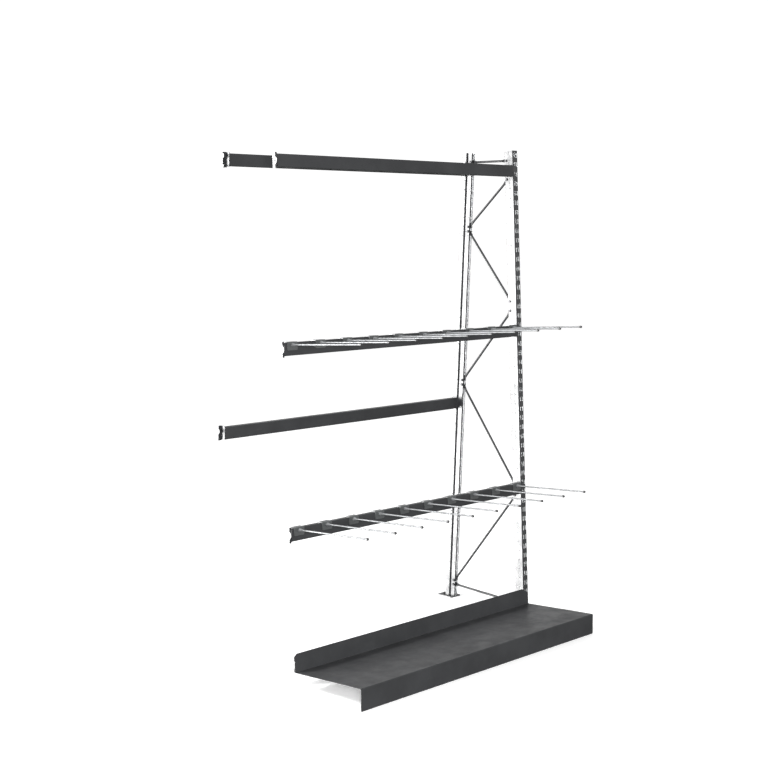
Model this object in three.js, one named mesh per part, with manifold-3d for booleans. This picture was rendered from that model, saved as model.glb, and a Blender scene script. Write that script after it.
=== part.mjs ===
// Add-on bay of a leaning storage rack with cantilever arms, in millimetres, +Z up.
// X runs along the beams (the end frame stands at X = 0 to 40), Y from the arms' side to the back.
import * as THREE from "three";
import { mergeVertices } from "three/addons/utils/BufferGeometryUtils.js";
import Module from "manifold-3d";

const wasm = await Module();
wasm.setup();

// ---- driving dimensions ----
const GAP = 0.3; // clearance left between neighbouring pieces
const LEAN = THREE.MathUtils.degToRad(2.6); // each post leans this much towards the frame's middle
const FRAME_DEPTH = 580; // outside of the front post to outside of the rear post, at the floor

// a post is a wide channel with the slots, which steps in to a narrow neck that takes the braces
const POST = { length: 2500, width: 40, shoulder: 32, neck: 24, depth: 65, wall: 2.5, lip: 6 };
const SLOT = { width: 8, height: 26, pitch: 50, count: 50, spacing: 17 };
const BOLT_LINE = 53; // brace bolts stand this far inside a post's slotted face
const PIN_LINE = 12; // and the beams' safety pins this far

const FOOT = { width: 80, margin: 2, reach: 42, thick: 5, tongue: 4, tongueHeight: 60 };
const ANCHOR = { radius: 5, head: 8, inset: 20 };
const BOLT = { radius: 3.8, hole: 4.3, head: 7.5, headHeight: 5.5, nutHeight: 6.5 };
const PIN = { radius: 3, hole: 3.6, head: 6, headHeight: 3, reach: 12 };

const BRACE = { radius: 6, eye: 9, eyeThick: 3, tongue: 36, tubeInset: 30 };
// heights of the brace bolts up the posts: each brace joins a front one to its counterpart
const FRONT_BOLTS = [2450, 2350, 1700, 1650, 700, 650, 50];
const REAR_BOLTS = [2450, 2100, 2075, 1250, 1225, 100, 75];

const BAY_LEFT = -1658; // outer faces of the beams' end plates
const BAY_RIGHT = -1;
const BEAM = { height: 60, depth: 30, wall: 2, lip: 12 };
const BEAM_PROUD = 2.8; // a beam's closed face stands this far outside the posts' slotted faces
const PLATE = { height: 72, thick: 3, hookThick: 2.5, frontHook: 12, rearHook: 16, window: 40 };
const FRONT_BEAMS = { top_front_beam: 2362, upper_arm_beam: 1513, lower_arm_beam: 663, base_beam: 62 };
const REAR_BEAMS = { top_rear_beam: 2376, rear_tie_beam: 1086 };

const ARMS = { perBeam: 10, firstX: -1610, pitch: 174.5, rise: THREE.MathUtils.degToRad(0.75) };
const BRACKET = { width: 62, thick: 3, frontDrop: 35, backDrop: 12, rodDrop: 11 };
const ROD = { radius: 4, reach: 452, collar: 9, collarLength: 20, cap: 7, capLength: 17 };

const TRAY = { left: -1711, right: -32, rearY: -52, rearZ: 79, depth: 429, sheet: 2, upstand: 85 };
const TRAY_TILT = THREE.MathUtils.degToRad(3.3);
const TRAY_CHAMFER = { left: [14, 12], right: [48, 22] };
const TRAY_HOOK = { centres: [-1480, -871, -262], width: 60, thick: 2.5, top: 126.5, down: 14, reach: 92 };

// ---- materials ----
const paint = (color, roughness) =>
  new THREE.MeshStandardMaterial({ color, roughness, metalness: 0.15 });
const steel = (color, roughness) =>
  new THREE.MeshStandardMaterial({ color, roughness, metalness: 0.9 });

// ---- solids: shapes come from three.js geometries, and are joined or cut as closed solids ----
function solid(geometry) {
  const plain = new THREE.BufferGeometry();
  const source = geometry.index ? geometry.toNonIndexed() : geometry;
  plain.setAttribute("position", source.getAttribute("position"));
  const merged = mergeVertices(plain, 1e-4);
  return new wasm.Manifold(
    new wasm.Mesh({
      numProp: 3,
      vertProperties: merged.attributes.position.array,
      triVerts: new Uint32Array(merged.index.array),
    }),
  );
}

function geometryOf(body) {
  const mesh = body.getMesh();
  const geometry = new THREE.BufferGeometry();
  geometry.setAttribute("position", new THREE.BufferAttribute(mesh.vertProperties, 3));
  geometry.setIndex(new THREE.BufferAttribute(mesh.triVerts, 1));
  const flat = geometry.toNonIndexed();
  flat.computeVertexNormals();
  return flat;
}

const join = (first, ...rest) => rest.reduce((sum, piece) => sum.add(piece), first);
const cut = (first, ...rest) => rest.reduce((left, piece) => left.subtract(piece), first);

function box(x0, x1, y0, y1, z0, z1) {
  const geometry = new THREE.BoxGeometry(x1 - x0, y1 - y0, z1 - z0);
  return solid(geometry.translate((x0 + x1) / 2, (y0 + y1) / 2, (z0 + z1) / 2));
}

// Outline in Y and Z, pulled along X.
function extrudeX(outline, x0, x1) {
  const shape = new THREE.Shape(outline.map(([y, z]) => new THREE.Vector2(y, z)));
  const geometry = new THREE.ExtrudeGeometry(shape, { depth: x1 - x0, bevelEnabled: false });
  const turn = new THREE.Matrix4().makeBasis(
    new THREE.Vector3(0, 1, 0),
    new THREE.Vector3(0, 0, 1),
    new THREE.Vector3(1, 0, 0),
  );
  return solid(geometry.applyMatrix4(turn).translate(x0, 0, 0));
}

// Outline in X and Y, pulled along Z.
function extrudeZ(outline, z0, z1) {
  const shape = new THREE.Shape(outline.map(([x, y]) => new THREE.Vector2(x, y)));
  const geometry = new THREE.ExtrudeGeometry(shape, { depth: z1 - z0, bevelEnabled: false });
  return solid(geometry.translate(0, 0, z0));
}

function cylinderX(x0, x1, y, z, radius, sides) {
  const geometry = new THREE.CylinderGeometry(radius, radius, x1 - x0, sides);
  return solid(geometry.rotateZ(Math.PI / 2).translate((x0 + x1) / 2, y, z));
}

function cylinderZ(x, y, z0, z1, radius, sides) {
  const geometry = new THREE.CylinderGeometry(radius, radius, z1 - z0, sides);
  return solid(geometry.rotateX(Math.PI / 2).translate(x, y, (z0 + z1) / 2));
}

function named(name, body, material) {
  const mesh = new THREE.Mesh(geometryOf(body), material);
  mesh.name = name;
  return mesh;
}

// ---- the two leaning sides: inside each, Z runs up the post and Y = 0 is its slotted face ----
// "inward" is +1 on the front side and -1 on the rear one: the way from the slotted face into the frame.
const rack = new THREE.Group();
const frontSide = new THREE.Group();
frontSide.rotation.x = -LEAN;
const rearSide = new THREE.Group();
rearSide.position.y = FRAME_DEPTH;
rearSide.rotation.x = LEAN;
rack.add(frontSide, rearSide);

const postCentre = POST.width / 2;

// Where a point of a side, given up the post and inward of its slotted face, is in the rack's frame.
function onSide(inward, along, inside) {
  const y = inside * Math.cos(LEAN) + along * Math.sin(LEAN);
  const z = along * Math.cos(LEAN) - inside * Math.sin(LEAN);
  return { y: inward > 0 ? y : FRAME_DEPTH - y, z };
}

function post(inward, boltHeights, beamHeights) {
  const { width, shoulder, neck, depth, wall, lip, length } = POST;
  // half of the section as distances from the post's middle plane, outside first and back along the inside
  const half = [
    [width / 2, 0],
    [width / 2, shoulder],
    [neck / 2, shoulder],
    [neck / 2, depth],
    [neck / 2 - lip, depth],
    [neck / 2 - lip, depth - wall],
    [neck / 2 - wall, depth - wall],
    [neck / 2 - wall, shoulder - wall],
    [width / 2 - wall, shoulder - wall],
    [width / 2 - wall, wall],
  ];
  const right = half.map(([x, y]) => [postCentre + x, y * inward]);
  const left = half.map(([x, y]) => [postCentre - x, y * inward]);
  let body = extrudeZ([...right, ...left.reverse()], -20, length);
  const slots = [];
  for (let i = 0; i < SLOT.count; i += 1) {
    const z = length - SLOT.pitch * (i + 0.5);
    for (const side of [-1, 1]) {
      const x = postCentre + (side * SLOT.spacing) / 2;
      slots.push(
        box(x - SLOT.width / 2, x + SLOT.width / 2, -5, 5, z - SLOT.height / 2, z + SLOT.height / 2),
      );
    }
  }
  body = cut(body, join(...slots));
  for (const z of boltHeights) {
    body = cut(body, cylinderX(-5, width + 5, inward * BOLT_LINE, z, BOLT.hole, 10));
  }
  for (const z of beamHeights) {
    const middle = z + BEAM.height / 2;
    body = cut(body, cylinderX(-5, postCentre, inward * PIN_LINE, middle, PIN.hole, 8));
  }
  // the lower end is cut level, just above the foot plate
  const level = new THREE.BoxGeometry(200, 400, 100).translate(0, 0, FOOT.thick + GAP - 50);
  return cut(body, solid(level.rotateX(inward * LEAN)));
}

const darkPaint = paint(0x3b3d3f, 0.5);
const zinc = steel(0xb9bdc0, 0.35);
const blackOxide = steel(0x343536, 0.5);

frontSide.add(
  named(
    "front_post",
    post(1, FRONT_BOLTS, Object.values(FRONT_BEAMS)),
    darkPaint,
  ),
);
rearSide.add(
  named(
    "rear_post",
    post(-1, REAR_BOLTS, Object.values(REAR_BEAMS)),
    darkPaint,
  ),
);

// ---- feet: a floor plate with a tongue that stands inside the post, and a floor anchor outside it ----
const anchorLine = (inward) => onSide(inward, 0, -(FOOT.reach - ANCHOR.inset)).y;

function foot(inward) {
  const half = FOOT.width / 2;
  const ends = [onSide(inward, 0, -FOOT.reach).y, onSide(inward, 0, POST.depth + FOOT.margin).y];
  const [low, high] = ends.sort((a, b) => a - b);
  const plate = box(postCentre - half, postCentre + half, low, high, 0, FOOT.thick);
  const inside = POST.wall + GAP + FOOT.tongue / 2;
  const tongue = new THREE.BoxGeometry(
    POST.width - 2 * (POST.wall + GAP),
    FOOT.tongue,
    FOOT.tongueHeight,
  );
  tongue.translate(postCentre, inward * inside, FOOT.tongueHeight / 2 - 2 + FOOT.thick);
  tongue.rotateX(-inward * LEAN).translate(0, inward > 0 ? 0 : FRAME_DEPTH, 0);
  const below = box(-100, 100, low, high, -50, 0);
  const hole = cylinderZ(postCentre, anchorLine(inward), -1, FOOT.thick + 1, ANCHOR.radius + 0.6, 12);
  return cut(join(plate, solid(tongue)), below, hole);
}

function anchor(inward) {
  const y = anchorLine(inward);
  const head = cylinderZ(postCentre, y, FOOT.thick + GAP, FOOT.thick + 7, ANCHOR.head, 6);
  return join(head, cylinderZ(postCentre, y, 0.2, FOOT.thick + 5, ANCHOR.radius, 10));
}

for (const [name, inward] of [
  ["front", 1],
  ["rear", -1],
]) {
  rack.add(named(`${name}_foot`, foot(inward), darkPaint));
  rack.add(named(`${name}_anchor`, anchor(inward), blackOxide));
}

// ---- braces: tubes with flattened, bolted ends, zigzagging between the posts ----
// Neighbours sit on opposite sides of the frame's middle plane, so their ends clear each other.
function brace(name, from, to, side) {
  const run = { y: to.y - from.y, z: to.z - from.z };
  const length = Math.hypot(run.y, run.z);
  const x0 = side > 0 ? GAP / 2 : -GAP / 2 - BRACE.eyeThick;
  const x1 = x0 + BRACE.eyeThick;
  const tube = new THREE.CylinderGeometry(
    BRACE.radius,
    BRACE.radius,
    length - 2 * BRACE.tubeInset,
    12,
  );
  let body = solid(tube.translate(0, length / 2, 0));
  for (const [end, way] of [
    [0, 1],
    [length, -1],
  ]) {
    const low = Math.min(end, end + way * BRACE.tongue);
    const tongue = box(x0, x1, low, low + BRACE.tongue, -BRACE.eye, BRACE.eye);
    body = join(body, tongue, cylinderX(x0, x1, end, 0, BRACE.eye, 16));
  }
  for (const end of [0, length]) {
    body = cut(body, cylinderX(-BRACE.radius, BRACE.radius, end, 0, BOLT.hole, 10));
  }
  const mesh = named(name, body, darkPaint);
  mesh.position.set(postCentre, from.y, from.z);
  mesh.rotation.x = Math.atan2(run.z, run.y);
  rack.add(mesh);
}

[
  "top_brace",
  "diagonal_brace_1",
  "diagonal_brace_2",
  "diagonal_brace_3",
  "diagonal_brace_4",
  "diagonal_brace_5",
  "bottom_brace",
].forEach((name, i) => {
  const front = onSide(1, FRONT_BOLTS[i], BOLT_LINE);
  const rear = onSide(-1, REAR_BOLTS[i], BOLT_LINE);
  brace(name, front, rear, i % 2 ? -1 : 1);
});

function braceBolt(name, at) {
  const left = postCentre - POST.neck / 2 - GAP;
  const right = postCentre + POST.neck / 2 + GAP;
  const head = cylinderX(left - BOLT.headHeight, left, 0, 0, BOLT.head, 6);
  const shank = cylinderX(left - 1, right + 1, 0, 0, BOLT.radius, 10);
  const nut = cylinderX(right, right + BOLT.nutHeight, 0, 0, BOLT.head, 6);
  const mesh = named(name, join(head, shank, nut), blackOxide);
  mesh.position.set(0, at.y, at.z);
  rack.add(mesh);
}

for (const [name, inward, heights] of [
  ["front", 1, FRONT_BOLTS],
  ["rear", -1, REAR_BOLTS],
]) {
  heights.forEach((height, i) => {
    braceBolt(`${name}_bolt_${i + 1}`, onSide(inward, height, BOLT_LINE));
  });
}

// ---- beams: open channels with an angle plate welded to each end ----
// The plate's hook leg laps over the slotted face of its post, the other has the safety pin's hole.
function beam(inward, bottom) {
  const { height, depth, wall, lip } = BEAM;
  const top = bottom + height;
  const face = -BEAM_PROUD;
  const back = face + depth;
  // on both sides of the frame the closed web looks the arms' way, and the open side the other
  const web = inward > 0 ? face : -back;
  const open = web + depth;
  const profile = [
    [web, bottom],
    [open, bottom],
    [open, bottom + lip],
    [open - wall, bottom + lip],
    [open - wall, bottom + wall],
    [web + wall, bottom + wall],
    [web + wall, top - wall],
    [open - wall, top - wall],
    [open - wall, top - lip],
    [open, top - lip],
    [open, top],
    [web, top],
  ];
  let body = extrudeX(profile, BAY_LEFT + 1, BAY_RIGHT - 1);

  const middle = bottom + height / 2;
  const low = middle - PLATE.height / 2;
  const high = middle + PLATE.height / 2;
  const hook = inward > 0 ? PLATE.frontHook : PLATE.rearHook;
  for (const [x, way] of [
    [BAY_LEFT, -1],
    [BAY_RIGHT, 1],
  ]) {
    const xs = [x, x - way * PLATE.thick].sort((a, b) => a - b);
    const ys = [face * inward, back * inward].sort((a, b) => a - b);
    const plate = box(xs[0], xs[1], ys[0], ys[1], low, high);
    const hookXs = [x - way, x + way * hook].sort((a, b) => a - b);
    const hookYs = [face * inward, (face + PLATE.hookThick) * inward].sort((a, b) => a - b);
    let leg = box(hookXs[0], hookXs[1], hookYs[0], hookYs[1], low, high);
    if (inward > 0) {
      const windowXs = [x, x + way * (hook + 1)].sort((a, b) => a - b);
      const half = PLATE.window / 2;
      leg = cut(leg, box(windowXs[0], windowXs[1], -10, 10, middle - half, middle + half));
    }
    body = join(body, plate, leg);
    body = cut(body, cylinderX(xs[0] - 5, xs[1] + 5, inward * PIN_LINE, middle, PIN.hole, 8));
  }
  return body;
}

function safetyPin() {
  const inner = BAY_RIGHT - PLATE.thick - GAP;
  const head = cylinderX(inner - PIN.headHeight, inner, 0, 0, PIN.head, 12);
  return join(head, cylinderX(inner - 1, PIN.reach, 0, 0, PIN.radius, 8));
}

for (const [side, beams, inward] of [
  [frontSide, FRONT_BEAMS, 1],
  [rearSide, REAR_BEAMS, -1],
]) {
  for (const [name, bottom] of Object.entries(beams)) {
    side.add(named(name, beam(inward, bottom), darkPaint));
    const pin = named(`${name}_pin`, safetyPin(), zinc);
    pin.position.set(0, inward * PIN_LINE, bottom + BEAM.height / 2);
    side.add(pin);
  }
}

// ---- cantilever arms: a bracket clipped over the beam, a collar, a round bar and an end cap ----
function arm() {
  const front = -BEAM_PROUD - GAP;
  const back = BEAM.depth - BEAM_PROUD + GAP;
  const { width, thick, frontDrop, backDrop, rodDrop } = BRACKET;
  const half = width / 2;
  const clip = join(
    box(-half, half, front - thick, back + thick, GAP, GAP + thick),
    box(-half, half, front - thick, front, -frontDrop, GAP + thick),
    box(-half, half, back, back + thick, -backDrop, GAP + thick),
  );
  const { radius, reach, collar, collarLength, cap, capLength } = ROD;
  const outline = [
    [0, 0],
    [collar, 0],
    [radius + 1.5, collarLength],
    [radius, collarLength],
    [radius, reach - capLength],
    [cap, reach - capLength],
    [cap, reach - 4],
    [cap - 3, reach],
    [0, reach],
  ];
  const bar = new THREE.LatheGeometry(
    outline.map(([r, along]) => new THREE.Vector2(r, along)),
    10,
  );
  // the lathe's own axis is Y: turned round so that the bar runs out to the front, slightly upwards
  bar.rotateZ(Math.PI).rotateX(-ARMS.rise).translate(0, front - thick + 1, -rodDrop);
  return join(clip, solid(bar));
}

for (const [beamName, label] of [
  ["upper_arm_beam", "upper_arm"],
  ["lower_arm_beam", "lower_arm"],
]) {
  for (let i = 0; i < ARMS.perBeam; i += 1) {
    const mesh = named(`${label}_${String(i + 1).padStart(2, "0")}`, arm(), zinc);
    const top = FRONT_BEAMS[beamName] + BEAM.height;
    mesh.position.set(ARMS.firstX + ARMS.pitch * i, 0, top);
    frontSide.add(mesh);
  }
}

// ---- base tray: a folded sheet with a rear upstand and a front lip down to the floor ----
function tray() {
  const { left, right, rearY, rearZ, depth, sheet, upstand } = TRAY;
  const sin = Math.sin(TRAY_TILT);
  const cos = Math.cos(TRAY_TILT);
  const frontY = rearY - depth * cos;
  const frontZ = rearZ + depth * sin;
  // every fold of the top side, and of the underside one sheet thickness away
  const outline = [
    [rearY + upstand * sin, rearZ + upstand * cos],
    [rearY, rearZ],
    [frontY + sheet, frontZ],
    [frontY, frontZ],
    [frontY, 0],
    [frontY + sheet, 0],
    [frontY + sheet, frontZ - sheet],
    [rearY + sheet * (1 + sin), rearZ - sheet],
    [rearY + sheet + (upstand + sheet) * sin, rearZ + upstand * cos],
  ];
  let body = extrudeX(outline, left, right);
  const top = rearZ + upstand * cos;
  for (const [edge, way, [run, drop]] of [
    [left, 1, TRAY_CHAMFER.left],
    [right, -1, TRAY_CHAMFER.right],
  ]) {
    const corner = [
      [edge - way, top + 1],
      [edge + way * run, top + 1],
      [edge - way, top - drop],
    ];
    const shape = new THREE.Shape(corner.map(([x, z]) => new THREE.Vector2(x, z)));
    const wedge = new THREE.ExtrudeGeometry(shape, { depth: 40, bevelEnabled: false });
    body = cut(body, solid(wedge.rotateX(Math.PI / 2).translate(0, rearY + 30, 0)));
  }
  // welded hooks reach from the upstand over the base beam
  const { centres, width, thick, top: hookTop, down, reach } = TRAY_HOOK;
  for (const x of centres) {
    const plateY = rearY + sheet * (1 + sin);
    const bar = box(x - width / 2, x + width / 2, plateY, plateY + reach, hookTop - thick, hookTop);
    const leg = box(
      x - width / 2,
      x + width / 2,
      plateY + reach - thick,
      plateY + reach,
      hookTop - down,
      hookTop,
    );
    const root = box(x - width / 2, x + width / 2, plateY, plateY + 6, hookTop - 36, hookTop);
    body = join(body, bar, leg, root);
  }
  return body;
}

rack.add(named("base_tray", tray(), darkPaint));

// ---- origin: the middle of the footprint, on the floor ----
rack.updateMatrixWorld(true);
const bounds = new THREE.Box3().setFromObject(rack, true);
const middle = bounds.getCenter(new THREE.Vector3());
rack.position.set(-middle.x, -middle.y, -bounds.min.z);
const part = new THREE.Group();
part.add(rack);

export default part;
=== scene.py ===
import math

import bmesh
import bpy
from mathutils import Matrix, Vector
from mathutils.geometry import delaunay_2d_cdt


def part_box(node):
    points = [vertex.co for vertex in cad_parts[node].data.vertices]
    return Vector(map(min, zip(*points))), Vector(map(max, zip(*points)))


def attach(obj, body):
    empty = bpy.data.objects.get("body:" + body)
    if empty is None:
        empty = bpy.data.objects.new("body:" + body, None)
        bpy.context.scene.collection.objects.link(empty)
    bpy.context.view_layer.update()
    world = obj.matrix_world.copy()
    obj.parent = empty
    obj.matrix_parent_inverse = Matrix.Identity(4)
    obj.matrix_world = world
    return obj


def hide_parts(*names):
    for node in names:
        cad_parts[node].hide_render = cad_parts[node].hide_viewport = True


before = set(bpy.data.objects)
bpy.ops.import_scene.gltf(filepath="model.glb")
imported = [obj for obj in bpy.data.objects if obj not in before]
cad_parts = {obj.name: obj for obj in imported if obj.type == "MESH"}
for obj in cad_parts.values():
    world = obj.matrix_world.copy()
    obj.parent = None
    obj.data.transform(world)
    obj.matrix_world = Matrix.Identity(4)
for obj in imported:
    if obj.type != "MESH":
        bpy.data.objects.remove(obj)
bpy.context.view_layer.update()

# Looks of an add-on bay of a leaning cantilever rack. Sizes are in millimetres until a piece is made.
# A side's own frame has X along the beams, Y inward from the posts' slotted face and Z up the post.
MM = 0.001
LEAN = math.radians(2.6)
POST = {"length": 2500, "width": 40, "shoulder": 32, "neck": 24, "depth": 65, "sheet": 2.5, "lip": 6,
        "bend": 3.2}
POST_MIDDLE = POST["width"] / 2
SLOT = {"width": 8, "height": 26, "pitch": 50, "spacing": 17}
SIDE_HOLES = {"line": 24, "radius": 3.4, "small": 1.8}
BOLT_HOLES = {"line": 53, "radius": 3.9}
FOOT = {"reach": 42, "thick": 5, "corner": 9, "anchor_inset": 20, "anchor_hole": 6, "left": -20}
TONGUE = {"sheet": 4, "bottom": 3.2, "top": 62, "corner": 7}
ANCHOR = {"flat": 6.6, "shank": 4.8}
BOLT = {"flat": 6.4, "shank": 3.8, "length": 13}
GAP = 0.3  # kept between pieces that touch on the real rack
BEAM = {"height": 60, "depth": 30, "sheet": 2, "lip": 12, "proud": 2.8, "bend": 2.6}
PLATE = {"sheet": 2.5, "window": 40, "corner": 5, "pin_line": 12, "pin_hole": 3.6, "bend": 3}
HOOK = {"front": 12, "rear": 16}
LUG = {"sheet": 2.4, "inset": 1.3, "reach": 8.5, "height": 18, "shortest": 7, "edge": 2, "root": 0.5,
       "tip": 3}
PIN = {"shank": 3, "head": 6, "groove": 2.4, "tip": 2.1}
WELD = {"foot": 1.6, "beam": 1.5, "hook": 1.8}
BRACKET = {"width": 62, "sheet": 3, "front": 35, "back": 12, "rod_drop": 11, "gap": 0.3, "corner": 7,
           "bend": 3}
ROD = {"radius": 4, "reach": 452, "collar": 9, "collar_length": 20, "cap": 6.2, "cap_length": 13}
ARM_RISE = math.radians(0.75)
BRACE = {"radius": 6, "eye": 9, "sheet": 3, "flat": 22, "round": 38}
TRAY = {"sheet": 2, "tilt": math.radians(3.3), "upstand": 85, "depth": 429, "rear_y": -52, "rear_z": 79,
        "corner": 4, "bend": 3.5}
TRAY_CHAMFER = {"left": (14, 12), "right": (48, 22)}
TRAY_HOOK = {"centres": (-1480, -871, -262), "width": 60, "sheet": 2.5, "top": 126.5, "down": 14,
             "reach": 92, "root": 35, "corner": 6, "bend": 3}
BEND_STEPS = 5
NO_CUT = (0, 0, 1)

FRONT_BEAMS = ("top_front_beam", "upper_arm_beam", "lower_arm_beam", "base_beam")
REAR_BEAMS = ("top_rear_beam", "rear_tie_beam")
# The camera stands at a place in the rack's own frame; it looks down and to the right, in degrees.
CAMERA = {"lens": 65.87, "place": Vector((-5840.5, -4699.3, 2082.1)), "down": 6.284, "right": 45.343}
# Name, target, azimuth clockwise from +Y, elevation, distance, width, height, radiance, reflections only.
# Targets and lengths are in metres and angles in degrees.
LIGHTS = (
    ("back_left_softbox", (0, 0, 1.1), -53, 29, 6.5, 1.2, 1.2, 95, False),
    ("back_left_sheen", (0.4, 0.2, 0.7), -46, 0, 8.0, 4.5, 5.8, 62, True),
    ("front_left_fill", (0.85, -0.1, 1.3), -129, 5, 8.0, 2.0, 2.0, 44, False),
)

BRACES = ("top_brace", "diagonal_brace_1", "diagonal_brace_2", "diagonal_brace_3",
          "diagonal_brace_4", "diagonal_brace_5", "bottom_brace")

# The rack's own origin: the posts' left side in X, the front post's slotted face in Y, the floor in Z.
foot_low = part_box("front_foot")[0] / MM
ORIGIN = Vector((foot_low.x - FOOT["left"], foot_low.y + FOOT["reach"] * math.cos(LEAN), 0))
rear_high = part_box("rear_foot")[1] / MM
FRAME_DEPTH = rear_high.y - FOOT["reach"] * math.cos(LEAN) - ORIGIN.y
RACK = Matrix.Translation(ORIGIN)
FRONT = RACK @ Matrix.Rotation(-LEAN, 4, "X")
REAR = RACK @ Matrix.Translation((0, FRAME_DEPTH, 0)) @ Matrix.Rotation(LEAN, 4, "X")
MIRROR_Y = Matrix.Diagonal((1, -1, 1, 1))
SIDES = {"front": FRONT, "rear": REAR @ MIRROR_Y}


def local_box(node, side):
    """Lowest and highest corner of a CAD node in a side's own frame."""
    back = SIDES[side].inverted()
    points = [back @ (v.co / MM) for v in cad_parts[node].data.vertices]
    low = Vector([min(p[i] for p in points) for i in range(3)])
    high = Vector([max(p[i] for p in points) for i in range(3)])
    return low, high


# ---- materials ----
class Shader:
    """A node material: node() adds a node and wires or sets its inputs."""

    def __init__(self, name):
        self.material = bpy.data.materials.new(name)
        self.material.use_nodes = True
        self.tree = self.material.node_tree
        self.surface = self.tree.nodes["Principled BSDF"]
        self.place = self.node("ShaderNodeTexCoord").outputs["Object"]

    def node(self, kind, settings=None, **inputs):
        made = self.tree.nodes.new(kind)
        for key, value in (settings or {}).items():
            setattr(made, key, value)
        self.feed(made, **inputs)
        return made

    def feed(self, target, **inputs):
        for key, value in inputs.items():
            socket = target.inputs[int(key[1:]) if key[1:].isdigit() else key.replace("_", " ")]
            if isinstance(value, bpy.types.NodeSocket):
                self.tree.links.new(value, socket)
            else:
                socket.default_value = value

    def noise(self, scale, detail=3.0, roughness=0.5, stretch=None):
        vector = self.place
        if stretch:
            vector = self.node("ShaderNodeMapping", Vector=vector, Scale=stretch).outputs[0]
        return self.node("ShaderNodeTexNoise", Vector=vector, Scale=scale, Detail=detail,
                         Roughness=roughness).outputs["Fac"]

    def span(self, value, low, high, to_low, to_high):
        return self.node("ShaderNodeMapRange", {"interpolation_type": "SMOOTHSTEP"}, Value=value,
                         From_Min=low, From_Max=high, To_Min=to_low, To_Max=to_high).outputs[0]

    def multiply(self, a, b):
        return self.node("ShaderNodeMath", {"operation": "MULTIPLY"}, i0=a, i1=b).outputs[0]

    def mix(self, factor, a, b):
        made = self.node("ShaderNodeMix", {"data_type": "RGBA"})
        self.feed(made, i0=factor, i6=a, i7=b)
        return made.outputs[2]

    def edge_mask(self, radius, sharpness):
        """1 on the piece's outer edges, 0 on its flats."""
        bevel = self.node("ShaderNodeBevel", {"samples": 4}, Radius=radius).outputs[0]
        normal = self.node("ShaderNodeNewGeometry").outputs["Normal"]
        dot = self.node("ShaderNodeVectorMath", {"operation": "DOT_PRODUCT"}, i0=bevel, i1=normal)
        return self.span(dot.outputs["Value"], 1.0 - sharpness, 1.0, 1.0, 0.0)

    def bump(self, *layers):
        normal = None
        for height, strength, distance in layers:
            made = self.node("ShaderNodeBump", Strength=strength, Distance=distance, Height=height)
            if normal is not None:
                self.feed(made, Normal=normal)
            normal = made.outputs[0]
        self.feed(self.surface, Normal=normal)


def rgb(r, g, b):
    return (r, g, b, 1.0)


def powder_coat(name, colour, worn, gloss=0.55):
    """Satin powder coat on steel: orange peel, cloudy sheen, dust on the tops and rubbed edges."""
    s = Shader(name)
    lighter = tuple(c * 1.12 for c in colour)
    darker = tuple(c * 0.9 for c in colour)
    cloud = s.noise(5.0, 5.0, 0.6)
    base = s.mix(s.span(cloud, 0.35, 0.68, 0.0, 1.0), rgb(*darker), rgb(*lighter))
    normal_z = s.node("ShaderNodeSeparateXYZ", Vector=s.node("ShaderNodeNewGeometry").outputs["Normal"])
    upward = s.span(normal_z.outputs[2], 0.75, 1.0, 0.0, 1.0)
    dust_patches = s.span(s.noise(14.0, 6.0, 0.65), 0.42, 0.7, 0.0, 0.07)
    dust = s.multiply(upward, dust_patches)
    base = s.mix(dust, base, rgb(0.17, 0.165, 0.155))
    scuffs = s.span(s.noise(9.0, 4.0, 0.7, (1.0, 14.0, 14.0)), 0.64, 0.72, 0.0, 0.22)
    base = s.mix(scuffs, base, rgb(*(c * 1.9 for c in colour)))
    rub_patches = s.span(s.noise(38.0, 4.0, 0.6), 0.5, 0.66, 0.0, worn)
    rubbed = s.multiply(s.edge_mask(1.4 * MM, 0.25), rub_patches)
    base = s.mix(rubbed, base, rgb(0.3, 0.3, 0.31))
    s.feed(s.surface, Base_Color=base)
    s.feed(s.surface, Roughness=s.span(s.noise(11.0, 5.0, 0.6), 0.3, 0.75, 0.34, 0.5))
    s.surface.inputs["Specular IOR Level"].default_value = gloss
    peel = s.noise(520.0, 2.0, 0.5)
    ripples = s.noise(7.0, 2.0, 0.5)
    s.bump((ripples, 0.25, 1.2 * MM), (peel, 0.1, 0.05 * MM))
    return s.material


def plated_steel(name, colour, metallic):
    """Zinc or black oxide on steel, and the posts' near-white lining, which is painted light: fine crystals,
    drawn lines and dull spots.
    """
    s = Shader(name)
    spangle = s.node("ShaderNodeTexVoronoi", Vector=s.place, Scale=240.0).outputs["Distance"]
    dull = s.span(s.noise(30.0, 5.0, 0.6), 0.4, 0.7, 0.0, 1.0)
    base = s.mix(dull, rgb(*colour), rgb(*(c * 0.78 for c in colour)))
    s.feed(s.surface, Base_Color=base)
    s.surface.inputs["Metallic"].default_value = metallic
    s.surface.inputs["Specular IOR Level"].default_value = 0.15
    s.feed(s.surface, Roughness=s.span(s.noise(60.0, 4.0, 0.6), 0.3, 0.7, 0.34, 0.5))
    drawn = s.noise(900.0, 2.0, 0.5, (1.0, 0.04, 1.0))
    s.bump((spangle, 0.12, 0.05 * MM), (drawn, 0.2, 0.03 * MM))
    return s.material


def cap_plastic(name):
    """Black moulded end caps, faintly grained and greyed in soft patches."""
    s = Shader(name)
    cloud = s.span(s.noise(90.0, 4.0, 0.6), 0.35, 0.7, 0.0, 1.0)
    s.feed(s.surface, Base_Color=s.mix(cloud, rgb(0.018, 0.018, 0.019), rgb(0.04, 0.04, 0.041)))
    s.feed(s.surface, Roughness=s.span(s.noise(150.0, 3.0, 0.5), 0.3, 0.7, 0.42, 0.6))
    s.bump((s.noise(1400.0, 2.0, 0.5), 0.3, 0.05 * MM))
    return s.material


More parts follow.
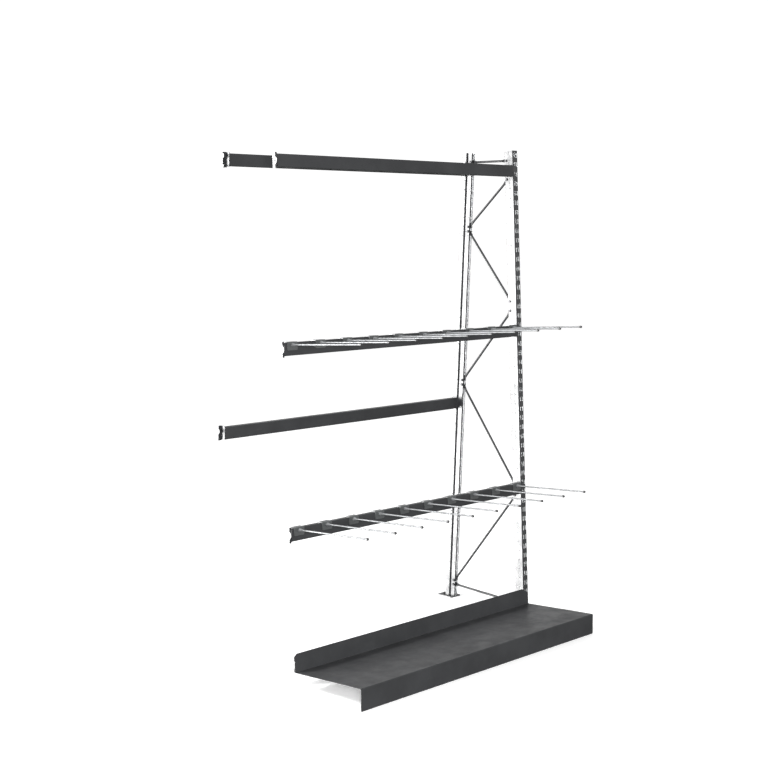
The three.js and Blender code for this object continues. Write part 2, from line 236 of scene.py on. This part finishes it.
def pale_floor(name):
    """Plain white studio floor, lit a little from within like a light table, with a faint matt grain."""
    s = Shader(name)
    s.surface.inputs["Emission Color"].default_value = rgb(1, 1, 1)
    s.surface.inputs["Emission Strength"].default_value = 0.3
    grain = s.noise(3.0, 3.0, 0.5)
    s.feed(s.surface, Base_Color=s.mix(grain, rgb(0.96, 0.96, 0.96), rgb(0.99, 0.99, 0.99)))
    s.surface.inputs["Roughness"].default_value = 0.7
    s.bump((s.noise(60.0, 3.0, 0.5), 0.05, 0.2 * MM))
    return s.material


# PAINT and SATIN_PAINT are one anthracite powder coat. PAINT has more gloss, so the posts' sides show the
# sheen lamp white. Its colour is darkened to offset that gloss on the fronts, which is painted shade.
PAINT = powder_coat("anthracite_powder_coat_shaded_copy", (0.027, 0.028, 0.03), 0.55, 0.45)
SATIN_PAINT = powder_coat("satin_powder_coat", (0.041, 0.042, 0.044), 0.55, 0.08)
BRACKET_PAINT = powder_coat("bracket_powder_coat", (0.066, 0.07, 0.071), 0.8, 0.5)
BRACE_PAINT = powder_coat("brace_powder_coat", (0.032, 0.033, 0.035), 0.3, 0.12)
ZINC = plated_steel("bright_zinc", (0.19, 0.195, 0.2), 0.15)
# The lining covers the posts' inside and cut edges. It is galvanised steel made near white so the slots look
# lit, and that brightness is painted light.
PAINTED_LIGHT_LINING = plated_steel("galvanised_inside_painted_light", (0.8, 0.81, 0.82), 0.0)
BLACK_OXIDE = plated_steel("black_oxide", (0.035, 0.035, 0.037), 0.2)
PLASTIC = cap_plastic("black_cap_plastic")


# ---- mesh code: every maker gives (points, faces) in millimetres ----
def bend(corners, radius, steps=BEND_STEPS):
    """Walks a folded sheet's midline and rounds each corner. Gives [(run, point, normal)]."""
    corners = [Vector(c) for c in corners]
    marks = [(corners[0], (corners[1] - corners[0]).normalized())]
    for before, corner, after in zip(corners, corners[1:], corners[2:]):
        into = (corner - before).normalized()
        out = (after - corner).normalized()
        turn = math.atan2(into.cross(out), into.dot(out))
        start = corner - into * radius * math.tan(abs(turn) / 2)
        way = math.copysign(1, turn)
        centre = start + Vector((-into.y, into.x)) * radius * way
        for k in range(steps + 1):
            spin = Matrix.Rotation(turn * k / steps, 2)
            marks.append((centre + spin @ (start - centre), spin @ into))
    marks.append((corners[-1], (corners[-1] - corners[-2]).normalized()))
    path = []
    run = 0.0
    for i, (point, along) in enumerate(marks):
        if i:
            run += (point - marks[i - 1][0]).length
        path.append((run, point, Vector((-along.y, along.x))))
    return path


def straight(start, end):
    """Path of a sheet that isn't bent."""
    start, end = Vector(start), Vector(end)
    along = (end - start).normalized()
    normal = Vector((-along.y, along.x))
    return [(0.0, start, normal), ((end - start).length, end, normal)]


def on_path(path, run):
    """Point and normal of the midline at a run length."""
    for (r0, p0, n0), (r1, p1, n1) in zip(path, path[1:]):
        if run <= r1 + 1e-6 and r1 > r0:
            share = (run - r0) / (r1 - r0)
            return p0.lerp(p1, share), n0.lerp(n1, share).normalized()
    return path[-1][1], path[-1][2]


def run_at(path, wanted, axis, leg):
    """Run length at which the flat leg that starts at bend number leg reaches a coordinate."""
    first = path[leg * (BEND_STEPS + 1)]
    last = path[leg * (BEND_STEPS + 1) + 1]
    share = (wanted - first[1][axis]) / (last[1][axis] - first[1][axis])
    return first[0] + share * (last[0] - first[0])


def oval(u, v, width, height, points=16):
    """Slot with round ends, or a circle when width and height are equal."""
    radius = min(width, height) / 2
    reach_u = width / 2 - radius
    reach_v = height / 2 - radius
    outline = []
    for k in range(points):
        angle = 2 * math.pi * (k + 0.5) / points
        cos, sin = math.cos(angle), math.sin(angle)
        outline.append((u + math.copysign(reach_u, cos) + radius * cos,
                        v + math.copysign(reach_v, sin) + radius * sin))
    return outline


def plate_outline(length, low, high, corners=(NO_CUT,) * 4):
    """Rectangle in run and span whose corners are cut: (run, span, steps), more than 1 step rounds it."""
    outline = []
    places = ((0, low, 1, 1), (length, low, -1, 1), (length, high, -1, -1), (0, high, 1, -1))
    for i, ((u, v, way_u, way_v), (cut_u, cut_v, steps)) in enumerate(zip(places, corners)):
        if not cut_u:
            outline.append((u, v))
            continue
        arc = []
        for k in range(steps + 1):
            angle = math.pi / 2 * k / steps
            arc.append((u + way_u * cut_u * (1 - math.sin(angle)),
                        v + way_v * cut_v * (1 - math.cos(angle))))
        outline += arc if i % 2 else arc[::-1]
    return outline


def inside(point, outline):
    """Whether a point lies inside a closed outline."""
    x, y = point
    odd = False
    for (x0, y0), (x1, y1) in zip(outline, outline[1:] + outline[:1]):
        if (y0 > y) != (y1 > y) and x < x0 + (y - y0) * (x1 - x0) / (y1 - y0):
            odd = not odd
    return odd


def in_a_hole(point, boxes):
    """Whether a point lies in a hole; boxes holds each hole's bounds and outline."""
    for low_u, high_u, low_v, high_v, outline in boxes:
        if low_u < point[0] < high_u and low_v < point[1] < high_v and inside(point, outline):
            return True
    return False


def folded_sheet(path, outline, holes, sheet, place):
    """Sheet of even thickness: cut flat to an outline with holes, then bent along path.
    place(a, b, v) puts a midline point, pulled to span v, in space."""
    points = [Vector(p) for p in outline]
    edges = [(i, (i + 1) % len(outline)) for i in range(len(outline))]
    low = min(p[1] for p in outline)
    high = max(p[1] for p in outline)
    for run, _, _ in path[1:-1]:
        edges.append((len(points), len(points) + 1))
        points += [Vector((run, low)), Vector((run, high))]
    boxes = []
    for hole in holes:
        first = len(points)
        points += [Vector(p) for p in hole]
        edges += [(first + i, first + (i + 1) % len(hole)) for i in range(len(hole))]
        us = [p[0] for p in hole]
        vs = [p[1] for p in hole]
        boxes.append((min(us), max(us), min(vs), max(vs), hole))
    flat, _, triangles, *_ = delaunay_2d_cdt(points, edges, [], 0, 1e-4)
    kept = []
    for triangle in triangles:
        middle = sum((flat[i] for i in triangle), Vector((0, 0))) / 3
        if inside(middle, outline) and not in_a_hole(middle, boxes):
            kept.append(tuple(triangle))
    used = sorted({i for triangle in kept for i in triangle})
    index = {old: new for new, old in enumerate(used)}
    count = len(used)
    upper = []
    under = []
    for i in used:
        point, normal = on_path(path, flat[i].x)
        above = point + normal * sheet / 2
        below = point - normal * sheet / 2
        upper.append(place(above.x, above.y, flat[i].y))
        under.append(place(below.x, below.y, flat[i].y))
    faces = []
    sides = {}
    for a, b, c in kept:
        a, b, c = index[a], index[b], index[c]
        faces += [(a, b, c), (c + count, b + count, a + count)]
        for edge in ((a, b), (b, c), (c, a)):
            if edge[::-1] in sides:
                del sides[edge[::-1]]
            else:
                sides[edge] = True
    faces += [(b, a, a + count, b + count) for a, b in sides]
    return upper + under, faces


def loft(rings):
    """Skin over closed rings of equal counts, with a cap on each end."""
    count = len(rings[0])
    points = [p for ring in rings for p in ring]
    faces = []
    for r in range(len(rings) - 1):
        for i in range(count):
            j = (i + 1) % count
            faces.append((r * count + i, r * count + j, (r + 1) * count + j, (r + 1) * count + i))
    faces.append(tuple(range(count))[::-1])
    last = (len(rings) - 1) * count
    faces.append(tuple(last + i for i in range(count)))
    return points, faces


def turned(profile, start, along, sides=24, shape=None):
    """Solid of revolution: profile [(distance, radius)] along a direction.
    shape(angle, radius) may change the radius around it."""
    along = Vector(along).normalized()
    across = along.orthogonal().normalized()
    other = along.cross(across)
    rings = []
    for distance, radius in profile:
        ring = []
        for k in range(sides):
            angle = 2 * math.pi * k / sides
            r = shape(angle, radius) if shape else radius
            outward = across * math.cos(angle) + other * math.sin(angle)
            ring.append(Vector(start) + along * distance + outward * r)
        rings.append(ring)
    return loft(rings)


def hexagon(flat):
    """Shape for turned(): cuts a round profile down to a hexagon with this half width."""
    def shape(angle, radius):
        return min(radius, flat / math.cos(angle % (math.pi / 3) - math.pi / 6))
    return shape


def weld_bead(points, radius):
    """Rippled bead of a fillet weld along a line of two points."""
    start, end = Vector(points[0]), Vector(points[1])
    length = (end - start).length
    count = max(3, int(length / 0.8))
    profile = [(0, radius * 0.3)]
    for k in range(1, count):
        profile.append((length * k / count, radius * (0.86 + 0.14 * math.cos(k * math.pi / 1.5))))
    profile.append((length, radius * 0.3))
    return turned(profile, start, end - start, 10)


# ---- pieces ----
class Piece:
    """Collects solids with their materials and makes one object of them."""

    def __init__(self, name, matrix=RACK):
        self.name = name
        self.matrix = matrix
        self.points = []
        self.faces = []
        self.slots = []
        self.materials = []

    def add(self, solid, material, lining=None):
        """lining is the material of a folded sheet's under side and cut edges, where that differs.
        A folded sheet's triangles lie upper, under, upper, under, and its cut edges are its quads."""
        points, faces = solid
        for used in (material, lining):
            if used and used not in self.materials:
                self.materials.append(used)
        first = len(self.points)
        self.points += [self.matrix @ Vector(p) * MM for p in points]
        self.faces += [tuple(first + i for i in face) for face in faces]
        for i, face in enumerate(faces):
            lined = lining and (len(face) == 4 or i % 2)
            self.slots.append(self.materials.index(lining if lined else material))

    def make(self, body, nodes, sharp=38):
        mesh = bpy.data.meshes.new(self.name)
        mesh.from_pydata(self.points, [], self.faces)
        for material in self.materials:
            mesh.materials.append(material)
        for polygon, index in zip(mesh.polygons, self.slots):
            polygon.material_index = index
        work = bmesh.new()
        work.from_mesh(mesh)
        bmesh.ops.recalc_face_normals(work, faces=work.faces)
        work.to_mesh(mesh)
        work.free()
        mesh.shade_smooth()
        mesh.set_sharp_from_angle(angle=math.radians(sharp))
        piece = bpy.data.objects.new(self.name, mesh)
        bpy.context.scene.collection.objects.link(piece)
        weighted = piece.modifiers.new("even_shading", "WEIGHTED_NORMAL")
        weighted.keep_sharp = True
        weighted.weight = 100
        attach(piece, body)
        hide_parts(*nodes)
        return piece


def upright(a, b, v):
    return Vector((a, b, v))


def crosswise(a, b, v):
    return Vector((v, a, b))


def post(side):
    """Slotted channel that steps in to a narrow neck, cut level just above its foot plate."""
    sheet = POST["sheet"]
    wide = POST["width"] / 2 - sheet / 2
    narrow = POST["neck"] / 2 - sheet / 2
    half = [(POST["neck"] / 2 - POST["lip"], POST["depth"] - sheet / 2), (narrow, POST["depth"] - sheet / 2),
            (narrow, POST["shoulder"] - sheet / 2), (wide, POST["shoulder"] - sheet / 2), (wide, sheet / 2)]
    right = [(POST_MIDDLE + x, y) for x, y in half]
    left = [(POST_MIDDLE - x, y) for x, y in half]
    path = bend(right + left[::-1], POST["bend"])
    level = FOOT["thick"] + GAP
    low = [(run, (level + point.y * math.sin(LEAN)) / math.cos(LEAN)) for run, point, _ in path]
    outline = low + [(path[-1][0], POST["length"]), (0, POST["length"])]
    holes = []
    face_middle = path[-1][0] / 2
    rows = POST["length"] // SLOT["pitch"]
    for i in range(rows):
        z = POST["length"] - SLOT["pitch"] * (i + 0.5)
        for way in (-1, 1):
            holes.append(oval(face_middle + way * SLOT["spacing"] / 2, z, SLOT["width"], SLOT["height"]))
    for leg, line, radius, small in ((1, BOLT_HOLES["line"], BOLT_HOLES["radius"], 0),
                                     (3, SIDE_HOLES["line"], SIDE_HOLES["radius"], SIDE_HOLES["small"])):
        run = run_at(path, line, 1, leg)
        for u in (run, path[-1][0] - run):
            for i in range(1, rows):
                z = SLOT["pitch"] * i
                holes.append(oval(u, z, 2 * radius, 2 * radius, 12))
                if small:
                    holes.append(oval(u, z + SLOT["pitch"] / 2, 2 * small, 2 * small, 10))
    piece = Piece(f"{side}_post_channel", SIDES[side])
    # The post's inside and the walls of its slots and holes take the near-white lining. This is painted
    # light that makes the slots look lit.
    piece.add(folded_sheet(path, outline, holes, sheet, upright), PAINT, PAINTED_LIGHT_LINING)
    piece.make("rack", [f"{side}_post"])


def foot(side):
    """Floor plate with rounded corners, an anchor hole, and a welded tongue inside the post."""
    low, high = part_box(f"{side}_foot")
    low, high = low / MM, high / MM
    away = -1 if side == "front" else 1
    piece = Piece(f"{side}_foot_plate", Matrix.Identity(4))
    path = straight((low.y, FOOT["thick"] / 2), (high.y, FOOT["thick"] / 2))
    corner = (FOOT["corner"], FOOT["corner"], 6)
    outline = plate_outline(high.y - low.y, low.x, high.x, (corner,) * 4)
    anchor_run = FOOT["anchor_inset"] if away < 0 else high.y - low.y - FOOT["anchor_inset"]
    middle_x = (low.x + high.x) / 2
    hole = oval(anchor_run, middle_x, 2 * FOOT["anchor_hole"], 2 * FOOT["anchor_hole"], 20)
    piece.add(folded_sheet(path, outline, [hole], FOOT["thick"], crosswise), PAINT)
    tongue = Piece(f"{side}_foot_tongue", SIDES[side])
    width = POST["width"] - 2 * (POST["sheet"] + GAP)
    left = POST_MIDDLE - width / 2
    right = POST_MIDDLE + width / 2
    front = POST["sheet"] + GAP
    back = front + TONGUE["sheet"]
    middle = (front + back) / 2
    rounded = (TONGUE["corner"], TONGUE["corner"], 6)
    cuts = (NO_CUT, NO_CUT, rounded, rounded)
    tongue_outline = plate_outline(width, TONGUE["bottom"], TONGUE["top"], cuts)
    flat_path = straight((left, middle), (right, middle))
    tongue.add(folded_sheet(flat_path, tongue_outline, [], TONGUE["sheet"], upright), PAINT)
    weld_z = FOOT["thick"] + 0.5
    for y in (front + 0.4, back - 0.2):
        tongue.add(weld_bead(((left + 1, y, weld_z), (right - 1, y, weld_z)), WELD["foot"]), PAINT)
    piece.make("rack", [f"{side}_foot"])
    tongue.make("rack", [f"{side}_foot"])


def hex_fastener(piece, at, along, size, height, length):
    """Chamfered hex head with a washer under it and a shank of a given length.
    along points out of the head, and size holds the half width over the flats and the shank's radius."""
    flat = size["flat"]
    shank = size["shank"]
    corner = flat / math.cos(math.pi / 6)
    chamfer = 0.8
    washer = [(0, flat * 1.22), (0.15, flat * 1.3), (1.2, flat * 1.3), (1.35, flat * 1.22)]
    head = [(1.35, flat * 0.98), (1.7, corner), (height - 1.2, corner), (height, flat * 0.96)]
    rod = [(-length, shank - chamfer), (chamfer - length, shank), (1, shank)]
    piece.add(turned(washer, at, along, 28), BLACK_OXIDE)
    piece.add(turned(head, at, along, 24, hexagon(flat)), BLACK_OXIDE)
    piece.add(turned(rod, at, along, 16), BLACK_OXIDE)


def anchor(side):
    """Floor anchor whose shank ends just above the floor."""
    low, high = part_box(f"{side}_anchor")
    low, high = low / MM, high / MM
    middle = (low + high) / 2
    piece = Piece(f"{side}_anchor_bolt", Matrix.Identity(4))
    top = FOOT["thick"] + GAP
    hex_fastener(piece, (middle.x, middle.y, top), (0, 0, 1), ANCHOR, high.z - top, top - 0.2)
    piece.make("rack", [f"{side}_anchor"])


def brace_bolt(name):
    """Bolt through a post's neck: head on its left side, nut and thread end on its right."""
    low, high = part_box(name)
    low, high = low / MM, high / MM
    middle = (low + high) / 2
    neck_left = ORIGIN.x + POST_MIDDLE - POST["neck"] / 2 - GAP
    neck_right = ORIGIN.x + POST_MIDDLE + POST["neck"] / 2 + GAP
    piece = Piece(f"{name}_set", Matrix.Identity(4))
    for x, way, height in ((neck_left, -1, neck_left - low.x), (neck_right, 1, high.x - neck_right)):
        hex_fastener(piece, (x, middle.y, middle.z), (way, 0, 0), BOLT, height, BOLT["length"])
    piece.make("rack", [name])


def brace(name, number):
    """Round tube whose ends are pressed flat, each with a round eye for its bolt."""
    def middle_of(bolt):
        low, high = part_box(bolt)
        return (low + high) / 2 / MM

    start = middle_of(f"front_bolt_{number}")
    end = middle_of(f"rear_bolt_{number}")
    middle_x = ORIGIN.x + POST_MIDDLE
    start.x = end.x = middle_x
    length = (end - start).length
    along = (end - start).normalized()
    across = Vector((1, 0, 0)).cross(along)
    side = -1 if (number - 1) % 2 else 1
    offset = side * (GAP / 2 + BRACE["sheet"] / 2)

    def ring(distance):
        """Section at a distance from the nearest bolt; negative is beyond it."""
        if distance <= BRACE["flat"]:
            share = 0.0
        else:
            share = min(1.0, (distance - BRACE["flat"]) / (BRACE["round"] - BRACE["flat"]))
        share = share * share * (3 - 2 * share)
        half_thick = BRACE["sheet"] / 2 + (BRACE["radius"] - BRACE["sheet"] / 2) * share
        half_wide = BRACE["eye"] + (BRACE["radius"] - BRACE["eye"]) * share
        if distance < 0:
            half_wide = math.sqrt(max(0.04, BRACE["eye"] ** 2 - distance ** 2))
        power = 0.35 + 0.65 * share
        return half_thick, half_wide, offset * (1 - share), power

    near = [-BRACE["eye"] * math.cos(math.pi / 2 * k / 8) for k in range(8)]
    near += [0, BRACE["flat"] / 2, BRACE["flat"]]
    near += [BRACE["flat"] + (BRACE["round"] - BRACE["flat"]) * k / 8 for k in range(1, 9)]
    stations = [(d, d) for d in near] + [(length - d, d) for d in reversed(near)]
    rings = []
    for station, distance in stations:
        half_thick, half_wide, x, power = ring(distance)
        points = []
        for k in range(24):
            angle = 2 * math.pi * k / 24
            cos, sin = math.cos(angle), math.sin(angle)
            u = math.copysign(abs(cos) ** power, cos) * half_thick
            w = math.copysign(abs(sin) ** power, sin) * half_wide
            points.append(start + along * station + Vector((x + u, 0, 0)) + across * w)
        rings.append(points)
    piece = Piece(f"{name}_tube", Matrix.Identity(4))
    piece.add(loft(rings), BRACE_PAINT)
    piece.make("rack", [name], 45)


def end_connector(piece, side, x, way, low, high, back):
    """Angle plate at a beam's end: a leg beside the post with the safety pin's hole, and a hook leg
    over its slotted face with lugs that go into the slots. way points out of the beam."""
    sheet = PLATE["sheet"]
    hook = HOOK[side]
    middle = (low + high) / 2
    plate_x = x - way * sheet / 2
    face = -BEAM["proud"] + sheet / 2
    path = bend([(x + way * hook, face), (plate_x, face), (plate_x, back)], PLATE["bend"])
    corner = (PLATE["corner"], PLATE["corner"], 5)
    outline = plate_outline(path[-1][0], low, high, (corner,) * 4)
    pin_run = run_at(path, PLATE["pin_line"], 1, 1)
    holes = [oval(pin_run, middle, 2 * PLATE["pin_hole"], 2 * PLATE["pin_hole"])]
    half_window = PLATE["window"] / 2 if side == "front" else 0
    if half_window:
        holes.append(oval(-hook / 2, middle, 3 * hook - 2, 2 * half_window, 24))
    piece.add(folded_sheet(path, outline, holes, sheet, upright), PAINT)
    lug_x = x + way * (hook - LUG["inset"])
    root = face + sheet / 2 - LUG["root"]
    lug_path = straight((lug_x, root), (lug_x, root + LUG["reach"]))
    for i in range(POST["length"] // SLOT["pitch"]):
        slot_z = POST["length"] - SLOT["pitch"] * (i + 0.5)
        bottom = max(slot_z - LUG["height"] / 2, low + LUG["edge"])
        top = min(slot_z + LUG["height"] / 2, high - LUG["edge"])
        if half_window and slot_z > middle:
            bottom = max(bottom, middle + half_window + 1)
        elif half_window:
            top = min(top, middle - half_window - 1)
        if top - bottom < LUG["shortest"]:
            continue
        round_tip = (LUG["tip"], LUG["tip"], 4)
        lug = plate_outline(LUG["reach"], bottom, top, (NO_CUT, round_tip, round_tip, NO_CUT))
        piece.add(folded_sheet(lug_path, lug, [], LUG["sheet"], upright), PAINT)


def beam(name, side):
    """Open channel with its web towards the arms' side, an angle plate and weld beads at each end."""
    low, high = local_box(name, side)
    left = low.x + HOOK[side]
    right = high.x - HOOK[side]
    sheet = BEAM["sheet"]
    middle = (low.z + high.z) / 2
    bottom = middle - BEAM["height"] / 2
    top = middle + BEAM["height"] / 2
    near = -BEAM["proud"]
    far = near + BEAM["depth"]
    web, lips = (near, far) if side == "front" else (far, near)
    inner = math.copysign(sheet / 2, lips - web)
    corners = [(lips - inner, bottom + BEAM["lip"]), (lips - inner, bottom + sheet / 2),
               (web + inner, bottom + sheet / 2), (web + inner, top - sheet / 2),
               (lips - inner, top - sheet / 2), (lips - inner, top - BEAM["lip"])]
    path = bend(corners, BEAM["bend"])
    piece = Piece(f"{name}_channel", SIDES[side])
    outline = plate_outline(path[-1][0], left + PLATE["sheet"], right - PLATE["sheet"])
    piece.add(folded_sheet(path, outline, [], sheet, crosswise), SATIN_PAINT)
    for x, way in ((left, -1), (right, 1)):
        end_connector(piece, side, x, way, low.z, high.z, far)
        seam = x - way * PLATE["sheet"]
        web_line = ((seam, web, bottom + 4), (seam, web, bottom + 22))
        flange_line = ((seam, near + 5, bottom), (seam, far - 5, bottom))
        top_line = ((seam, near + 5, top), (seam, far - 5, top))
        for line in (web_line, flange_line, top_line):
            piece.add(weld_bead(line, WELD["beam"]), PAINT)
    piece.make("rack", [name])


def safety_pin(name, side):
    """Headed pin with a chamfered tip and a groove for its spring ring."""
    low, high = local_box(name, side)
    length = high.x - low.x
    middle = (low + high) / 2
    shank = PIN["shank"]
    groove = PIN["groove"]
    profile = [(0, PIN["head"] - 1.4), (0.7, PIN["head"] - 0.3), (2.4, PIN["head"]), (3, PIN["head"] - 0.4)]
    profile += [(3.02, shank), (length - 5, shank), (length - 4.7, groove), (length - 3.9, groove)]
    profile += [(length - 3.6, shank), (length - 1, shank), (length, PIN["tip"])]
    piece = Piece(f"{name}_turned", SIDES[side])
    piece.add(turned(profile, (low.x, middle.y, middle.z), (1, 0, 0), 24), ZINC)
    piece.make(name, [name])


def arm(name):
    """Clip-on bracket bent over the beam, with a conical collar, a round bar and a plastic end cap."""
    low, high = local_box(name, "front")
    sheet = BRACKET["sheet"]
    middle_x = (low.x + high.x) / 2
    top = high.z - BRACKET["gap"] - sheet
    front = -BEAM["proud"] - BRACKET["gap"] - sheet / 2
    back = BEAM["depth"] - BEAM["proud"] + BRACKET["gap"] + sheet / 2
    crown = top + BRACKET["gap"] + sheet / 2
    corners = [(front, top - BRACKET["front"]), (front, crown), (back, crown), (back, top - BRACKET["back"])]
    path = bend(corners, BRACKET["bend"])
    half = BRACKET["width"] / 2
    corner = (BRACKET["corner"], BRACKET["corner"], 6)
    outline = plate_outline(path[-1][0], middle_x - half, middle_x + half, (corner,) * 4)
    bracket = Piece(f"{name}_bracket", SIDES["front"])
    bracket.add(folded_sheet(path, outline, [], sheet, crosswise), BRACKET_PAINT)

    start = Vector((middle_x, front - sheet / 2 + 1, top - BRACKET["rod_drop"]))
    along = Vector((0, -math.cos(ARM_RISE), math.sin(ARM_RISE)))
    reach = ROD["reach"]
    cap_start = reach - ROD["cap_length"]
    radius = ROD["radius"]
    collar = [(0.4, ROD["collar"] + 1.4), (1.6, ROD["collar"] + 1.2), (2.6, ROD["collar"] + 0.2)]
    bracket.add(turned(collar, start, along, 28), BRACKET_PAINT)
    bracket.make(name, [name])

    cone = ROD["collar_length"]
    bar = [(1.4, ROD["collar"]), (cone - 1, radius + 1.8), (cone, radius + 1.2), (cone + 0.6, radius)]
    bar.append((cap_start + 4, radius))
    rod = Piece(f"{name}_bar", SIDES["front"])
    rod.add(turned(bar, start, along, 24), ZINC)
    rod.make(name, [name])

    thick = ROD["cap"]
    dome_length = 5
    dome_drop = 3.4
    dome_start = reach - dome_length
    dome = [(cap_start, thick - 1.6), (cap_start + 0.5, thick - 0.7), (cap_start + 1.6, thick)]
    dome.append((dome_start, thick))
    for angle in (0.4, 0.8, 1.15, 1.45):
        dome.append((dome_start + dome_length * math.sin(angle), thick - dome_drop * (1 - math.cos(angle))))
    cap = Piece(f"{name}_cap", SIDES["front"])
    cap.add(turned(dome, start, along, 28), PLASTIC)
    cap.make(name, [name])


def tray():
    """Folded sheet: rear upstand with chamfered corners, sloping floor and a front lip.
    Three hooks are welded to its back."""
    low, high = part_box("base_tray")
    left = low.x / MM - ORIGIN.x
    right = high.x / MM - ORIGIN.x
    half = TRAY["sheet"] / 2
    sin, cos = math.sin(TRAY["tilt"]), math.cos(TRAY["tilt"])
    up = Vector((sin, cos))
    forward = Vector((-cos, sin))
    fold = Vector((TRAY["rear_y"], TRAY["rear_z"])) - half * up - half * forward
    upstand_top = fold + (TRAY["upstand"] + half) * up
    front_y = TRAY["rear_y"] - TRAY["depth"] * cos + half
    front_fold = fold + forward * (fold.x - front_y) / cos
    path = bend([upstand_top, fold, front_fold, (front_y, 0)], TRAY["bend"])
    chamfers = []
    for name in ("left", "right"):
        along_x, down = TRAY_CHAMFER[name]
        chamfers.append((down, along_x, 1))
    rounded = (TRAY["corner"], TRAY["corner"], 4)
    corners = (chamfers[0], rounded, rounded, chamfers[1])
    piece = Piece("base_tray_sheet", RACK)
    outline = plate_outline(path[-1][0], left, right, corners)
    piece.add(folded_sheet(path, outline, [], TRAY["sheet"], crosswise), SATIN_PAINT)
    piece.make("rack", ["base_tray"])

    hooks = Piece("base_tray_hooks", RACK)
    sheet = TRAY_HOOK["sheet"]

    def behind(z):
        """Y of a hook's midline where it lies on the back of the upstand."""
        return TRAY["rear_y"] + TRAY["sheet"] / cos + (z - TRAY["rear_z"]) * sin / cos + sheet / 2 + 0.1

    crown = TRAY_HOOK["top"] - sheet / 2
    end = TRAY["rear_y"] + TRAY["sheet"] + TRAY_HOOK["reach"] - sheet / 2
    root = crown - TRAY_HOOK["root"]
    tip = crown - TRAY_HOOK["down"]
    hook_corners = [(behind(root), root), (behind(crown), crown), (end, crown), (end, tip)]
    hook_path = bend(hook_corners, TRAY_HOOK["bend"])
    rounded = (TRAY_HOOK["corner"], TRAY_HOOK["corner"], 5)
    seam_bottom = root + TRAY_HOOK["corner"] + 1
    seam_top = crown - TRAY_HOOK["corner"]
    for centre in TRAY_HOOK["centres"]:
        x0 = centre - TRAY_HOOK["width"] / 2
        x1 = centre + TRAY_HOOK["width"] / 2
        outline = plate_outline(hook_path[-1][0], x0, x1, (rounded,) * 4)
        hooks.add(folded_sheet(hook_path, outline, [], sheet, crosswise), PAINT)
        for x in (x0, x1):
            seam = [(x, behind(z) - sheet / 2, z) for z in (seam_bottom, seam_top)]
            hooks.add(weld_bead(seam, WELD["hook"]), PAINT)
    hooks.make("rack", ["base_tray"])


for side in ("front", "rear"):
    post(side)
    foot(side)
    anchor(side)
for number, name in enumerate(BRACES, 1):
    brace(name, number)
    brace_bolt(f"front_bolt_{number}")
    brace_bolt(f"rear_bolt_{number}")
for side, names in (("front", FRONT_BEAMS), ("rear", REAR_BEAMS)):
    for name in names:
        beam(name, side)
        safety_pin(f"{name}_pin", side)
for name in sorted(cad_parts):
    if name.rpartition("_")[2].isdigit() and "_arm_" in name:
        arm(name)
tray()


# ---- floor, light and camera ----
def studio_floor():
    """Large pale floor that the object stands on and that doesn't dim the light from below."""
    bpy.ops.mesh.primitive_plane_add(size=500, location=(0, 0, 0))
    floor = bpy.context.object
    floor.name = "studio_floor"
    floor.data.materials.append(pale_floor("pale_floor"))
    # The world's lower half stands in for the floor's bounce, and the sheen light reaches below the floor.
    floor.visible_diffuse = False
    floor.visible_glossy = False
    floor.visible_shadow = False


def studio_world():
    """White along the horizon, softer overhead and dim below."""
    world = bpy.data.worlds.new("studio")
    world.use_nodes = True
    tree = world.node_tree
    background = tree.nodes["Background"]
    place = tree.nodes.new("ShaderNodeTexCoord")
    split = tree.nodes.new("ShaderNodeSeparateXYZ")
    tree.links.new(place.outputs["Generated"], split.inputs[0])
    strength = tree.nodes.new("ShaderNodeMath")
    strength.operation = "MULTIPLY"
    below = (-0.3, -0.02, 0.1, 1.1)
    above = (0.2, 1.0, 1.0, 0.42)
    for i, values in enumerate((below, above)):
        ramp = tree.nodes.new("ShaderNodeMapRange")
        tree.links.new(split.outputs[2], ramp.inputs["Value"])
        for key, value in zip(("From Min", "From Max", "To Min", "To Max"), values):
            ramp.inputs[key].default_value = value
        tree.links.new(ramp.outputs[0], strength.inputs[i])
    tree.links.new(strength.outputs[0], background.inputs["Strength"])
    background.inputs["Color"].default_value = (1, 1, 1, 1)
    bpy.context.scene.world = world


def softbox(name, target, azimuth, elevation, distance, width, height, radiance, gloss):
    """Rectangular area light that faces target. A gloss light is only seen in reflections.
    The others only light what they reach and are not seen in reflections."""
    azimuth = math.radians(azimuth)
    elevation = math.radians(elevation)
    light = bpy.data.lights.new(name, "AREA")
    light.shape = "RECTANGLE"
    light.size = width
    light.size_y = height
    light.energy = radiance * math.pi * width * height
    lamp = bpy.data.objects.new(name, light)
    out = Vector((math.sin(azimuth) * math.cos(elevation), math.cos(azimuth) * math.cos(elevation),
                  math.sin(elevation)))
    lamp.location = Vector(target) + out * distance
    lamp.rotation_euler = out.to_track_quat("Z", "Y").to_euler()
    lamp.visible_camera = False
    lamp.visible_diffuse = not gloss
    lamp.visible_glossy = gloss
    bpy.context.scene.collection.objects.link(lamp)


def photo_camera():
    """Camera at the front left, standing where the reference view was taken from."""
    camera = bpy.data.cameras.new("camera")
    camera.lens = CAMERA["lens"]
    camera.sensor_width = 36
    holder = bpy.data.objects.new("camera", camera)
    holder.location = (ORIGIN + CAMERA["place"]) * MM
    holder.rotation_euler = (math.radians(90 - CAMERA["down"]), 0, math.radians(-CAMERA["right"]))
    bpy.context.scene.collection.objects.link(holder)
    bpy.context.scene.camera = holder


studio_floor()
studio_world()
for light in LIGHTS:
    softbox(*light)
photo_camera()
bpy.context.scene.view_settings.view_transform = "Standard"

bpy.context.view_layer.update()
